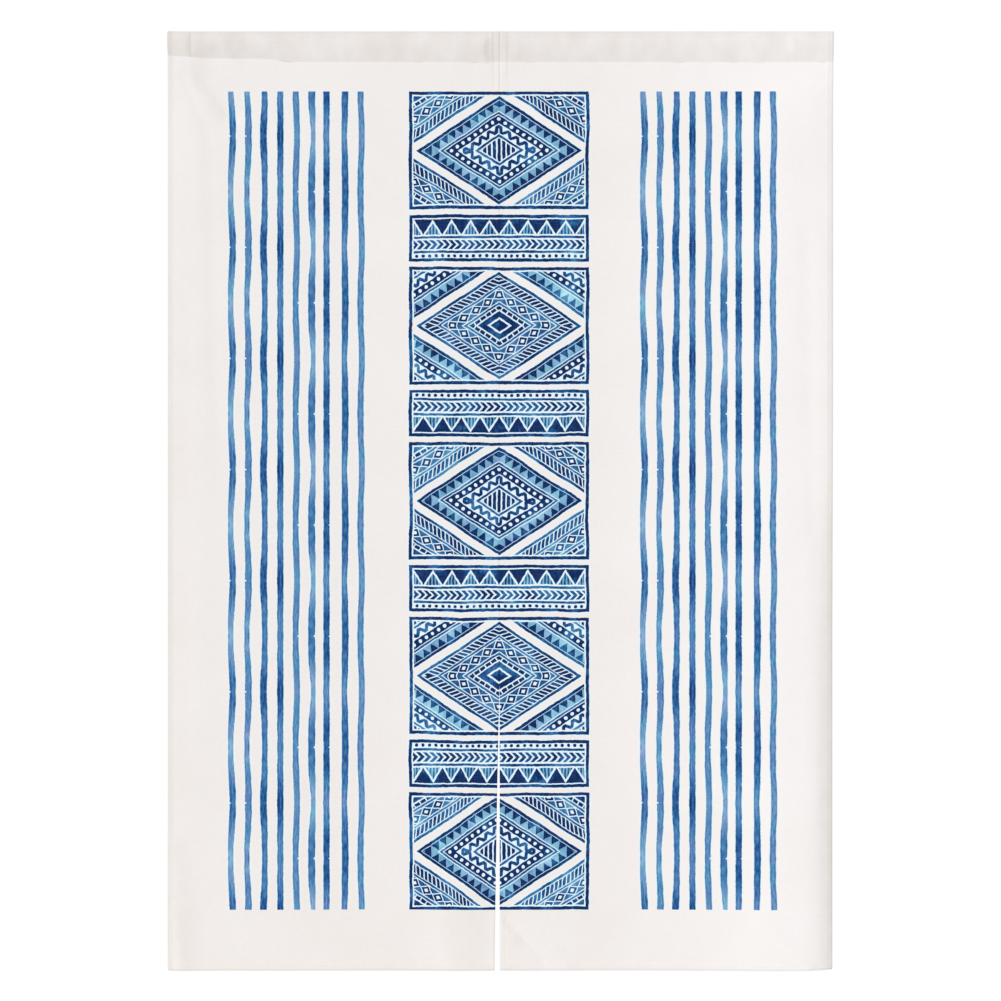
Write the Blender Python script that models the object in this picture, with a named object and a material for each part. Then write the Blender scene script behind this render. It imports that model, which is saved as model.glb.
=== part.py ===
"""Noren curtain: two cloth panels that meet at a centre seam and part at a long slit, each with an
open rod sleeve along its top. Metres, +Z up. The origin is the middle of the top edge and the
front faces -Y. Depths are measured down from the top edge."""

import math
from collections import namedtuple

import bmesh
import bpy

# Outer size as it hangs
WIDTH = 0.850
HEIGHT = 1.200

# Cloth, with its doubled hems
CLOTH = 0.0012
HEM_CLOTH = 0.0020
SIDE_HEM = 0.0065
INNER_HEM = 0.0090
BOTTOM_HEM = 0.0060
HEM_STEP = 0.0006

# Where two pieces are sewn together
SEWN_GAP = 0.0003

# Centre seam, and the slit below it whose left edge swings away
SEAM_X = -0.0010
SLIT_TOP = 0.833
SLIT_GAP = 0.0068
SLIT_CURVE = 0.75

# Rod sleeve: a round top that tapers to the stitch line, which rises where the cloth puckers
SLEEVE_RADIUS = 0.0070
SLEEVE_DROP = 0.0390
PUCKER_RISE = 0.0042
PUCKER_X = -0.335
PUCKER_HALF_WIDTH = 0.034
SLEEVE_SWELL = 0.0006
SLEEVE_WAVE = 0.155
INNER_TIP = 0.0003

# The outer edges curl back, the right one most below the middle
CURL_WIDTH = 0.026
LEFT_CURL = 0.0020
RIGHT_CURL_TOP = 0.0030
RIGHT_CURL_LOW = 0.0110
CURL_GROWS_FROM = 0.45
CURL_GROWS_TO = 0.80

# Folds start flat at the stitch line and reach their full height this far below it
FOLD_FADE = 0.085

# A soft ridge along a line from (x, depth) to (x, depth). A negative height is a trough
Fold = namedtuple("Fold", "x_top depth_top x_end depth_end half_width height")
FOLDS = {
    "left ridge": Fold(-0.388, 0.120, -0.378, 0.880, 0.024, 0.0042),
    "corner pinch": Fold(-0.392, 0.030, -0.345, 0.105, 0.013, -0.0045),
    "bottom left ridge": Fold(-0.408, 1.060, -0.396, 1.200, 0.011, 0.0038),
    "left field": Fold(-0.150, 0.250, -0.135, 1.100, 0.085, -0.0030),
    "seam dip": Fold(-0.001, 0.050, -0.001, 0.840, 0.045, -0.0022),
    "slit crease": Fold(0.008, 1.125, 0.034, 1.195, 0.011, -0.0026),
    "right field": Fold(0.145, 0.200, 0.160, 1.150, 0.080, -0.0026),
    "right ridge": Fold(0.352, 0.100, 0.345, 1.200, 0.042, 0.0046),
}

# Mesh density: columns across a panel, rows down it, points round the sleeve
COLUMNS = 22
ROWS = 34
CROWDING = 0.6
ARC_STEPS = 6
SIDE_STEPS = 4

CLOTH_COLOUR = (0.880, 0.847, 0.810, 1.0)
CLOTH_ROUGHNESS = 0.9


def smooth(value):
    """Ease from 0 to 1."""
    value = min(max(value, 0.0), 1.0)
    return value * value * (3.0 - 2.0 * value)


def graded(count):
    """Even steps from 0 to 1, crowded towards both ends."""
    steps = [k / count for k in range(count + 1)]
    return [t - CROWDING * math.sin(2.0 * math.pi * t) / (2.0 * math.pi) for t in steps]


def stitch_depth(x):
    """Depth of the sleeve's stitch line, which rises at the pucker."""
    pucker = smooth(2.0 - 2.0 * abs(x - PUCKER_X) / PUCKER_HALF_WIDTH)
    return SLEEVE_DROP - PUCKER_RISE * pucker


def slit_gap(depth):
    """Width of the slit, from nothing at its top."""
    share = (depth - SLIT_TOP) / (HEIGHT - SLIT_TOP)
    return SLIT_GAP * max(share, 0.0) ** SLIT_CURVE


def panel_edges(side, depth):
    """Left and right edges of a panel at a depth."""
    if side == "left":
        return -WIDTH / 2, SEAM_X - SEWN_GAP / 2 - slit_gap(depth)
    return SEAM_X + SEWN_GAP / 2, WIDTH / 2


def fold_height(x, depth):
    """How far the folds bring the cloth towards the front."""
    height = 0.0
    for fold in FOLDS.values():
        run_x = fold.x_end - fold.x_top
        run_depth = fold.depth_end - fold.depth_top
        along = (x - fold.x_top) * run_x + (depth - fold.depth_top) * run_depth
        along = min(max(along / (run_x ** 2 + run_depth ** 2), 0.0), 1.0)
        off_x = x - fold.x_top - along * run_x
        off_depth = depth - fold.depth_top - along * run_depth
        height += fold.height * math.exp(-(off_x ** 2 + off_depth ** 2) / fold.half_width ** 2)
    return height


def curl_back(x, depth):
    """How far the outer edges curl to the back."""
    grown = smooth((depth - CURL_GROWS_FROM) / (CURL_GROWS_TO - CURL_GROWS_FROM))
    right_curl = RIGHT_CURL_TOP + (RIGHT_CURL_LOW - RIGHT_CURL_TOP) * grown
    near_left = max(CURL_WIDTH - WIDTH / 2 - x, 0.0) / CURL_WIDTH
    near_right = max(CURL_WIDTH - WIDTH / 2 + x, 0.0) / CURL_WIDTH
    return LEFT_CURL * near_left ** 2 + right_curl * near_right ** 2


def cloth_point(x, depth):
    """A point of the hanging cloth's middle surface."""
    fade = smooth((depth - SLEEVE_DROP) / FOLD_FADE)
    y = fade * (curl_back(x, depth) - fold_height(x, depth))
    return x, y, -depth


def hem_positions(length, near_hem, far_hem, count):
    """Mesh lines across a length: each hem, its step, and graded lines between.
    Returns pairs of position and whether it lies on a hem. A hem of 0 is left out."""
    lines = []
    start = 0.0
    end = length
    if near_hem:
        lines += [(0.0, True), (near_hem, True)]
        start = near_hem + HEM_STEP
    if far_hem:
        end = length - far_hem - HEM_STEP
    lines += [(start + (end - start) * t, False) for t in graded(count)]
    if far_hem:
        lines += [(length - far_hem, True), (length, True)]
    return lines


def panel_columns(side):
    """Mesh columns of a panel and of its sleeve, as distances from the left edge."""
    left, right = panel_edges(side, 0.0)
    hems = (SIDE_HEM, INNER_HEM) if side == "left" else (INNER_HEM, SIDE_HEM)
    return hem_positions(right - left, *hems, COLUMNS)


def add_object(name, mesh_data):
    """A linked object with its own cloth material."""
    thing = bpy.data.objects.new(name, mesh_data)
    bpy.context.scene.collection.objects.link(thing)
    material = bpy.data.materials.new(name + " cotton")
    material.use_nodes = True
    shader = material.node_tree.nodes["Principled BSDF"]
    shader.inputs["Base Color"].default_value = CLOTH_COLOUR
    shader.inputs["Roughness"].default_value = CLOTH_ROUGHNESS
    shader.inputs["Metallic"].default_value = 0.0
    mesh_data.materials.append(material)
    return thing


def add_panel(side):
    """One draped sheet from the stitch line to the bottom hem, thicker on its hems."""
    columns = panel_columns(side)
    mesh = bmesh.new()
    on_hem = []
    grid = []
    length = HEIGHT - SLEEVE_DROP
    for position, low_hem in hem_positions(length, 0.0, BOTTOM_HEM, ROWS):
        row = []
        for offset, side_hem in columns:
            left, right = panel_edges(side, 0.0)
            x_at_top = left + offset
            top = stitch_depth(x_at_top) + SEWN_GAP
            depth = top + (HEIGHT - top) * position / length
            low_left, low_right = panel_edges(side, depth)
            x = low_left + (low_right - low_left) * offset / (right - left)
            row.append(mesh.verts.new(cloth_point(x, depth)))
            on_hem.append(side_hem or low_hem)
        grid.append(row)
    for upper, lower in zip(grid, grid[1:]):
        for k in range(len(columns) - 1):
            mesh.faces.new((upper[k], lower[k], lower[k + 1], upper[k + 1]))
    name = "panel_" + side
    data = bpy.data.meshes.new(name)
    mesh.to_mesh(data)
    mesh.free()
    panel = add_object(name, data)
    hem_group = panel.vertex_groups.new(name="hem")
    hem_group.add([k for k, hem in enumerate(on_hem) if hem], 1.0, "REPLACE")
    solidify = panel.modifiers.new("cloth thickness", "SOLIDIFY")
    solidify.thickness = HEM_CLOTH
    solidify.offset = 0.0
    solidify.vertex_group = hem_group.name
    solidify.thickness_vertex_group = CLOTH / HEM_CLOTH
    return panel


def sleeve_half(radius, drop, wall, tip):
    """Front half of a sleeve section as (half width, depth), from the top to the tip.
    wall is how far inside the outer face it lies, and tip is the half width where it ends."""
    points = []
    for k in range(ARC_STEPS + 1):
        angle = 0.5 * math.pi * k / ARC_STEPS
        points.append(((radius - wall) * math.sin(angle), radius - (radius - wall) * math.cos(angle)))
    end = math.acos((tip + wall - CLOTH) / (radius - CLOTH)) * 2.0 / math.pi
    for k in range(1, SIDE_STEPS + 1):
        share = end * k / SIDE_STEPS
        half_width = CLOTH + (radius - CLOTH) * math.cos(0.5 * math.pi * share) - wall
        points.append((half_width, radius + (drop - radius) * share))
    return points


def sleeve_loop(mesh, x, radius, drop, wall, tip):
    """Vertices once round a sleeve section at x: up the front and down the back."""
    front = sleeve_half(radius, drop, wall, tip)
    loop = [mesh.verts.new((x, -half_width, -depth)) for half_width, depth in reversed(front)]
    loop += [mesh.verts.new((x, half_width, -depth)) for half_width, depth in front[1:]]
    return loop


def add_sleeve(side):
    """An open tube of cloth for the rod, its two walls sewn together at the stitch line."""
    mesh = bmesh.new()
    left = panel_edges(side, 0.0)[0]
    outer_loops = []
    inner_loops = []
    for offset, _ in panel_columns(side):
        x = left + offset
        radius = SLEEVE_RADIUS - SLEEVE_SWELL * math.sin(2.0 * math.pi * x / SLEEVE_WAVE) ** 2
        drop = stitch_depth(x)
        outer_loops.append(sleeve_loop(mesh, x, radius, drop, 0.0, CLOTH))
        inner_loops.append(sleeve_loop(mesh, x, radius, drop, CLOTH, INNER_TIP))
    for loops in (outer_loops, inner_loops):
        for here, there in zip(loops, loops[1:]):
            bridge(mesh, here, there)
    bridge(mesh, outer_loops[0], inner_loops[0])
    bridge(mesh, outer_loops[-1], inner_loops[-1])
    bmesh.ops.recalc_face_normals(mesh, faces=mesh.faces)
    name = "pocket_" + side
    data = bpy.data.meshes.new(name)
    mesh.to_mesh(data)
    mesh.free()
    return add_object(name, data)


def bridge(mesh, here, there):
    """Faces between two closed loops with the same number of points."""
    for k in range(len(here)):
        after = (k + 1) % len(here)
        mesh.faces.new((here[k], here[after], there[after], there[k]))


def main():
    for thing in list(bpy.data.objects):
        bpy.data.objects.remove(thing, do_unlink=True)
    for side in ("left", "right"):
        for piece in (add_panel(side), add_sleeve(side)):
            piece.data.shade_smooth()
            piece.data.set_sharp_from_angle(angle=math.radians(40.0))


main()
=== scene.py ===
# Noren curtain in off-white cotton with a blue print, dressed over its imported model
import math
from collections import namedtuple

import bpy
import numpy as np
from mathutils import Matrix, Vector, noise


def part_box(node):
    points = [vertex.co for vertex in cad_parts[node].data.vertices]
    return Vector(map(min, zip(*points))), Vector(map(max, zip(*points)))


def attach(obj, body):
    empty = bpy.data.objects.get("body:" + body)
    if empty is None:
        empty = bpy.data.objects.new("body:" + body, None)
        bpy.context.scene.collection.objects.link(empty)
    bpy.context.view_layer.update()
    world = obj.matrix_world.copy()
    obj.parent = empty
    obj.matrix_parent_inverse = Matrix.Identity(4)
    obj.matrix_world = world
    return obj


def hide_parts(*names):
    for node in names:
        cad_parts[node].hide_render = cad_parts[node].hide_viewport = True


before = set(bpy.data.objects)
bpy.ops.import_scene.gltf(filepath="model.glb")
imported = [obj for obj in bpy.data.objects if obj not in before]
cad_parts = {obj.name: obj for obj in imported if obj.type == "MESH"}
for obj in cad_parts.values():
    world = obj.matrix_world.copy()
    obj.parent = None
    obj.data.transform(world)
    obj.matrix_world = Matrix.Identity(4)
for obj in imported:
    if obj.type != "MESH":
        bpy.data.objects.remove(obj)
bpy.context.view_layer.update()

# The curtain's main lines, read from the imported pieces. Depths run down from the top edge
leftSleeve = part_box("pocket_left")
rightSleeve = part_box("pocket_right")
curtain = {
    "left": round(leftSleeve[0][0], 4),
    "right": round(rightSleeve[1][0], 4),
    "seam": round((leftSleeve[1][0] + rightSleeve[0][0]) / 2, 4),
    "sewnGap": 0.0003,
    "bottom": -round(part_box("panel_left")[0][2], 3),
    "stitchLine": -round(leftSleeve[0][2], 4),
    "sleeveRadius": round(leftSleeve[1][1], 4),
}
print("main lines", curtain)

# How the cloth hangs, in metres
drape = {
    "slitTop": 0.833,
    "slitGap": 0.0068,
    "slitCurve": 0.75,
    "slitPull": 0.090,
    # the sleeve's stitch line rises towards the left corner: x from, x to, rise
    "stitchRises": ((-0.262, -0.308, 0.0044), (-0.362, -0.425, 0.0034)),
    "stitchRiseReach": 0.034,
    "sleeveSwell": 0.0006,
    "sleeveWave": 0.155,
    "sleeveFoot": 0.0006,
    "leftCurlWidth": 0.026,
    "rightCurlWidth": 0.038,
    "leftCurl": 0.0016,
    "rightCurlTop": 0.0030,
    "rightCurlLow": 0.0088,
    "curlFrom": 0.45,
    "curlTo": 0.80,
    "foldFade": 0.085,
    "creaseFade": 0.020,
    # each fold: x and depth of its two ends, half width, rise to the front
    "folds": {
        "leftRidge": (-0.392, 0.120, -0.384, 0.880, 0.027, 0.0019),
        "cornerPinch": (-0.392, 0.030, -0.345, 0.105, 0.013, -0.0045),
        "bottomLeftRidge": (-0.420, 1.040, -0.407, 1.200, 0.015, 0.0027),
        "leftField": (-0.150, 0.250, -0.135, 1.100, 0.085, -0.0030),
        "seamDip": (-0.001, 0.050, -0.001, 0.840, 0.045, -0.0022),
        "slitCrease": (0.008, 1.132, 0.058, 1.193, 0.010, -0.0010),
        "rightField": (0.145, 0.200, 0.160, 1.150, 0.080, -0.0026),
        "rightRidge": (0.352, 0.100, 0.345, 1.200, 0.042, 0.0034),
    },
    # finer creases, in the same columns, that only the cloth itself shows
    "creases": {
        "cornerLine": (-0.396, 0.041, -0.352, 0.098, 0.0070, -0.0009),
        "cornerLower": (-0.405, 0.060, -0.372, 0.135, 0.0065, -0.0008),
        "leftLong": (-0.372, 0.150, -0.362, 0.520, 0.0095, -0.0007),
        "leftLow": (-0.410, 1.110, -0.398, 1.194, 0.0080, -0.0008),
        "slitFold": (0.007, 1.138, 0.054, 1.188, 0.0030, -0.0011),
        "slitFoot": (0.030, 1.150, 0.085, 1.192, 0.0085, 0.0009),
        "slitShade": (-0.052, 1.080, -0.056, 1.200, 0.0300, 0.0022),
        "rightSoft": (0.392, 0.260, 0.398, 0.640, 0.0100, -0.0009),
        "rightFoot": (0.330, 1.130, 0.392, 1.197, 0.0085, 0.0008),
    },
}

# The cloth itself: its thickness, its turned hems, its small unevenness and its mesh
cloth = {
    "thickness": 0.00045,
    "layerPitch": 0.00052,
    "sideHem": 0.0065,
    "innerHem": 0.0090,
    "bottomHem": 0.0060,
    "stitchInset": 0.0014,
    "besideStitch": 0.0008,
    "rawTuck": 0.0008,
    "frontOffset": 0.00034,
    "footReach": 0.004,
    "seamGroove": 0.00026,
    "grooveWidth": 0.0010,
    "hemStep": 0.00018,
    "hemStepWidth": 0.0020,
    "cornerFrom": 0.0010,
    "cornerEase": 0.0035,
    "foldNesting": 0.0030,
    "ripple": 0.00044,
    "rippleSize": 0.013,
    "rippleReach": 0.010,
    "rippleSeed": 3.0,
    "pucker": 0.00080,
    "puckerSize": 0.024,
    "puckerStretch": 0.45,
    "puckerReach": 0.020,
    "puckerSeed": 7.0,
    "sleeveUnder": 0.0085,
    "sleeveTurn": 0.0008,
    "sleeveSteps": 20,
    "sleeveSides": 0.75,
    "columnStep": 0.0046,
    "rowStep": 0.0049,
    "topRows": 0.0280,
    "topRowStep": 0.0028,
    "lastRow": 0.0009,
    "crowding": 0.45,
    "nearSteps": (0.0006, 0.0016, 0.0030, 0.0050, 0.0075, 0.0105, 0.0140, 0.0180),
    "creaseFoot": 1.1,
    "backCreases": 0.3,
    # creases across the sleeve: x, lean, half width, rise
    "sleeveCreases": (
        (-0.3965, 0.000, 0.0018, -0.00125),
        (-0.3880, 0.006, 0.0060, 0.00080),
        (-0.3420, -0.006, 0.0050, -0.00060),
        (-0.3020, 0.014, 0.0060, 0.00070),
        (-0.2350, -0.008, 0.0050, -0.00055),
        (-0.1780, 0.010, 0.0055, 0.00060),
        (-0.0900, 0.008, 0.0060, -0.00060),
        (-0.0180, 0.004, 0.0034, -0.00090),
        (0.0230, -0.003, 0.0030, 0.00070),
        (0.0850, -0.012, 0.0060, -0.00070),
        (0.1720, 0.004, 0.0045, -0.00060),
        (0.2740, -0.018, 0.0034, 0.00125),
        (0.3250, 0.006, 0.0050, -0.00050),
        (0.3750, -0.004, 0.0030, 0.00075),
    ),
}


def smooth(value):
    value = np.clip(value, 0.0, 1.0)
    return value * value * (3.0 - 2.0 * value)


def stitchDepth(x):
    depth = np.full_like(x, curtain["stitchLine"])
    for start, end, rise in drape["stitchRises"]:
        depth -= rise * smooth((start - x) / (start - end))
    return depth


def slitGap(depth):
    share = (depth - drape["slitTop"]) / (curtain["bottom"] - drape["slitTop"])
    return drape["slitGap"] * np.maximum(share, 0.0) ** drape["slitCurve"]


def ridges(x, depth, table):
    # Soft ridges along straight lines, summed
    height = np.zeros_like(x)
    for xTop, depthTop, xEnd, depthEnd, halfWidth, rise in table.values():
        runX = xEnd - xTop
        runDepth = depthEnd - depthTop
        along = ((x - xTop) * runX + (depth - depthTop) * runDepth) / (runX ** 2 + runDepth ** 2)
        along = np.clip(along, 0.0, 1.0)
        offSquared = (x - xTop - along * runX) ** 2 + (depth - depthTop - along * runDepth) ** 2
        height += rise * np.exp(-offSquared / halfWidth ** 2)
    return height


def curlBack(x, depth):
    grown = smooth((depth - drape["curlFrom"]) / (drape["curlTo"] - drape["curlFrom"]))
    rightCurl = drape["rightCurlTop"] + (drape["rightCurlLow"] - drape["rightCurlTop"]) * grown
    nearLeft = np.maximum(1.0 - (x - curtain["left"]) / drape["leftCurlWidth"], 0.0)
    nearRight = np.maximum(1.0 - (curtain["right"] - x) / drape["rightCurlWidth"], 0.0)
    return drape["leftCurl"] * nearLeft ** 2 + rightCurl * nearRight ** 2


def unevenness(x, depth, size, seed):
    # Soft noise over the cloth, about one bump in each size
    spots = zip(np.ravel(x) / size, np.ravel(depth) / size)
    values = [noise.noise(Vector((a, b, seed))) for a, b in spots]
    return np.array(values).reshape(np.shape(x))


frontLayer = (1.0, 0.0, 0.0)
middleLayer = (0.0, 1.0, 0.0)
backLayer = (0.0, 0.0, 1.0)
innerFold = (0.0, 0.5, 0.5)
behindStation = 5  # where the stitches lie on a turned hem's back layer


def turnedHem(width):
    # Stations of a doubled hem from its raw end: inset from the edge, the shares of the
    # front, middle and back layer in its place, flat position
    pitch = cloth["layerPitch"]
    inner = width - pitch
    stations = [(inset, middleLayer, inset - 2.0 * width) for inset in (cloth["rawTuck"], 0.5 * width, inner)]
    stations.append((width - 0.5 * pitch, innerFold, -width))
    behind = (inner, width - cloth["stitchInset"], 0.45 * width, pitch)
    stations += [(inset, backLayer, -inset) for inset in behind]
    stations.append((0.3 * pitch, (0.15, 0.0, 0.85), -0.4 * pitch))
    stations.append((0.0, (0.5, 0.0, 0.5), 0.0))
    stations.append((0.3 * pitch, (0.85, 0.0, 0.15), 0.4 * pitch))
    return stations


def frontInsets(width):
    # Front stations close to a hemmed edge
    stitch = width - cloth["stitchInset"]
    beside = cloth["besideStitch"]
    onHem = [cloth["layerPitch"], 0.35 * width, stitch - beside, stitch, stitch + beside]
    return onHem + [width + step for step in cloth["nearSteps"]]


def between(start, end, step):
    # Stations between two, closer together near both
    count = max(round((end - start) / step), 1)
    share = np.arange(1, count) / count
    share -= cloth["crowding"] * np.sin(2.0 * math.pi * share) / (2.0 * math.pi)
    return list(start + (end - start) * share)


def panelColumns(side):
    # Left edge, width and hems of a panel, and its columns from one raw end to the other
    hems = (cloth["sideHem"], cloth["innerHem"])
    leftEdge, rightEdge = curtain["left"], curtain["seam"] - curtain["sewnGap"] / 2
    if side == "Right":
        hems = hems[::-1]
        leftEdge, rightEdge = curtain["seam"] + curtain["sewnGap"] / 2, curtain["right"]
    width = rightEdge - leftEdge
    nearLeft = frontInsets(hems[0])
    nearRight = [width - inset for inset in reversed(frontInsets(hems[1]))]
    front = nearLeft + between(nearLeft[-1], nearRight[0], cloth["columnStep"]) + nearRight
    columns = turnedHem(hems[0])
    columns += [(across, frontLayer, across) for across in front]
    columns += [(width - inset, layer, width - flat) for inset, layer, flat in reversed(turnedHem(hems[1]))]
    return leftEdge, width, hems, columns


def sleeveSection(share, x, foot):
    # Half width and depth of the sleeve's cloth, from the stitch line at 0 to the top at 1
    swell = np.sin(2.0 * math.pi * x / drape["sleeveWave"]) ** 2
    crown = curtain["sleeveRadius"] - drape["sleeveSwell"] * swell
    radius = crown - cloth["thickness"] / 2
    sides = cloth["sleeveSides"]
    if share < sides:
        lowness = 1.0 - share / sides
        halfWidth = foot + (radius - foot) * math.cos(0.5 * math.pi * lowness)
        return halfWidth, crown + (stitchDepth(x) - crown) * lowness
    angle = 0.5 * math.pi * (1.0 - share) / (1.0 - sides)
    return radius * math.sin(angle), crown - radius * math.cos(angle)


def groove(distance):
    # How deep a line of stitches pulls the cloth in
    return cloth["seamGroove"] * np.exp(-(distance / cloth["grooveWidth"]) ** 2)


def panelGrid(side):
    # The cloth of one panel as rows of points, from the bottom hem's raw end over the sleeve
    # to the sleeve's raw end, with the flat position of each point and the runs of its seams
    leftEdge, width, hems, columns = panelColumns(side)
    pitch = cloth["layerPitch"]
    across = np.array([column[0] for column in columns])
    layers = np.array([column[1] for column in columns])
    flatAcross = np.array([column[2] for column in columns])
    hemBack = pitch * (layers[:, 1] + 2.0 * layers[:, 2])
    toSide = np.minimum(across - hems[0], width - hems[1] - across)
    # the layers of two hems take more room where they cross at a corner
    corner = smooth(1.0 - (toSide - cloth["cornerFrom"]) / cloth["cornerEase"])
    middleBack = pitch * (1.0 + 2.0 * corner)
    farBack = pitch * (2.0 + 6.0 * corner)
    stitchColumns = np.array([hems[0] - cloth["stitchInset"], width - hems[1] + cloth["stitchInset"]])
    toStitch = np.min(np.abs(across[:, None] - stitchColumns[None, :]), axis=1)
    xTop = leftEdge + across
    footDepth = stitchDepth(xTop)
    rows = []

    # The hanging part, from the turned bottom hem up to the stitch line
    length = curtain["bottom"] - curtain["stitchLine"]
    near = frontInsets(cloth["bottomHem"])
    fine = list(length - np.arange(cloth["topRows"], cloth["lastRow"], -cloth["topRowStep"]))
    fine += [length - cloth["lastRow"], length]
    heights = near + between(near[-1], fine[0], cloth["rowStep"]) + fine
    stations = turnedHem(cloth["bottomHem"]) + [(height, frontLayer, height) for height in heights]
    for height, (frontShare, middleShare, backShare), flat in stations:
        # hem layers nest inside each other where the bottom hem folds
        atEdge = max(1.0 - height / cloth["foldNesting"], 0.0)
        atInner = max(1.0 - (cloth["bottomHem"] - height) / cloth["foldNesting"], 0.0)
        nested = height + hemBack * (atEdge - atInner * (middleShare + backShare == 1.0))
        lifted = smooth((nested - length + drape["stitchRiseReach"]) / drape["stitchRiseReach"])
        depth = curtain["bottom"] - nested - (curtain["stitchLine"] - footDepth) * lifted
        x = xTop
        if side == "Left":
            x = xTop - slitGap(depth) * smooth(1.0 + (xTop - curtain["seam"]) / drape["slitPull"])
        fromFoot = depth - footDepth
        y = smooth(fromFoot / drape["foldFade"]) * (curlBack(x, depth) - ridges(x, depth, drape["folds"]))
        y -= smooth(fromFoot / drape["creaseFade"]) * ridges(x, depth, drape["creases"])
        y -= cloth["frontOffset"]
        y -= (drape["sleeveFoot"] - cloth["frontOffset"]) * np.exp(-fromFoot / cloth["footReach"])
        toSeam = np.minimum(toStitch, abs(height - cloth["bottomHem"] + cloth["stitchInset"]))
        y += groove(toSeam) + groove(fromFoot)
        inField = np.minimum(toSide, height - cloth["bottomHem"])
        y += cloth["hemStep"] * smooth(inField / cloth["hemStepWidth"])
        ripple = unevenness(x, depth, cloth["rippleSize"], cloth["rippleSeed"])
        y += cloth["ripple"] * ripple * np.exp(-toSeam / cloth["rippleReach"])
        pucker = unevenness(x, depth * cloth["puckerStretch"], cloth["puckerSize"], cloth["puckerSeed"])
        y += cloth["pucker"] * pucker * np.exp(-fromFoot / cloth["puckerReach"])
        y += frontShare * hemBack + middleShare * (middleBack + hemBack) + backShare * (farBack - hemBack)
        rows.append((x, y, -depth, flat))
    stitchRow = len(rows) - 1

    # The sleeve, up the front, over the rod's space and down the back
    steps = cloth["sleeveSteps"]
    walk = [(k / steps, -1) for k in range(1, steps + 1)] + [(k / steps, 1) for k in range(steps - 1, -1, -1)]
    feet = {-1: drape["sleeveFoot"], 1: farBack - drape["sleeveFoot"]}
    nudge = 0.01
    flat = length
    for share, way in walk:
        halfWidth, depth = sleeveSection(share, xTop, feet[way])
        aheadHalf, aheadDepth = sleeveSection(min(share + nudge, 1.0), xTop, feet[way])
        behindHalf, behindDepth = sleeveSection(max(share - nudge, 0.0), xTop, feet[way])
        runY = way * (aheadHalf - behindHalf)
        runZ = behindDepth - aheadDepth
        run = np.hypot(runY, runZ) * -way
        inwardY, inwardZ = runZ / run, -runY / run
        if share == 1.0:
            inwardY, inwardZ = 0.0, -1.0
        raised = np.zeros_like(xTop)
        for centre, lean, halfCrease, rise in cloth["sleeveCreases"]:
            raised += rise * np.exp(-((xTop - centre - lean * share) / halfCrease) ** 2)
        inFront = math.sin(math.pi * min(share * cloth["creaseFoot"], 1.0))
        raised *= inFront if way < 0 else cloth["backCreases"]
        raised -= groove(toStitch)
        raised -= cloth["hemStep"] * smooth(toSide / cloth["hemStepWidth"])
        lower = depth * cloth["puckerStretch"] + (way > 0)
        pucker = unevenness(xTop, lower, cloth["puckerSize"], cloth["puckerSeed"])
        raised -= cloth["pucker"] * pucker * np.exp((depth - footDepth) / cloth["puckerReach"])
        y = way * halfWidth + (hemBack - raised) * inwardY
        z = -depth + (hemBack - raised) * inwardZ
        flat += float(np.median(np.hypot(y - rows[-1][1], z - rows[-1][2])))
        rows.append((xTop, y, z, flat))
    backStitchRow = len(rows) - 1

    # Its end, turned under at the stitch line and tucked up inside
    tuckedBack = farBack - middleBack
    turn, under = cloth["sleeveTurn"], cloth["sleeveUnder"]
    tuck = [(-turn, 0.0, turn), (-turn - 0.5 * pitch, 0.5, 2.0 * turn), (-turn, 1.0, 3.0 * turn)]
    tuck += [(0.3 * under, 1.0, 6.25 * turn), (under, 1.0, under + 2.5 * turn)]
    for rise, tucked, run in tuck:
        share = cloth["sleeveSides"] * max(rise, 0.0) / (curtain["stitchLine"] - curtain["sleeveRadius"])
        wall, _ = sleeveSection(share, xTop, feet[1])
        y = wall - tucked * tuckedBack + hemBack * (2.0 * tucked - 1.0)
        rows.append((xTop, y, rise - footDepth, flat + run))

    grid = np.array([np.stack(row[:3], axis=1) for row in rows])
    flatLength = np.array([row[3] for row in rows])
    flats = np.stack(np.meshgrid(leftEdge + flatAcross, curtain["bottom"] - flatLength), axis=2)
    flatSize = (float(np.ptp(flatAcross)), float(np.ptp(flatLength)))
    outerFirst = (side == "Left", side == "Right")
    runs = seamRuns(grid, stitchColumns, outerFirst, columns, heights, stitchRow, backStitchRow)
    return grid, flats, flatSize, runs


def seamRuns(grid, stitchColumns, outerFirst, columns, heights, stitchRow, backStitchRow):
    # Runs of points that the needle follows, and the way the cloth faces at each
    facing = np.cross(np.gradient(grid, axis=1), np.gradient(grid, axis=0))
    facing /= np.linalg.norm(facing, axis=2, keepdims=True) + 1e-12
    hemRows = len(turnedHem(cloth["bottomHem"]))
    frontRow = hemRows + int(np.argmin(np.abs(np.array(heights) - cloth["bottomHem"] + cloth["stitchInset"])))
    aboveHem = hemRows + int(np.argmax(np.array(heights) > cloth["bottomHem"]))
    across = np.array([column[0] for column in columns])
    onFront = np.array([column[1] == frontLayer for column in columns])
    onBack = np.array([column[1] == backLayer for column in columns])
    picked = []
    for place, seenInFront in zip(stitchColumns, outerFirst):
        miss = np.abs(across - place)
        frontColumn = int(np.argmin(miss + ~onFront))
        backColumn = int(np.argmin(miss + ~onBack))
        # the inner hem is sewn blind, so that no stitch crosses the print
        if seenInFront:
            picked.append((slice(behindStation - 1, backStitchRow), frontColumn))
        picked.append((slice(aboveHem, backStitchRow), backColumn))
    frontColumns = np.flatnonzero(onFront)
    wholeWidth = slice(frontColumns[0] + 1, frontColumns[-1])
    picked += [(row, wholeWidth) for row in (behindStation, frontRow, stitchRow, backStitchRow)]
    return [(grid[spot] + facing[spot] * cloth["thickness"] / 2, facing[spot]) for spot in picked]


def placed(name, data):
    # A new object in the scene
    piece = bpy.data.objects.new(name, data)
    bpy.context.scene.collection.objects.link(piece)
    return piece


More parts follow.
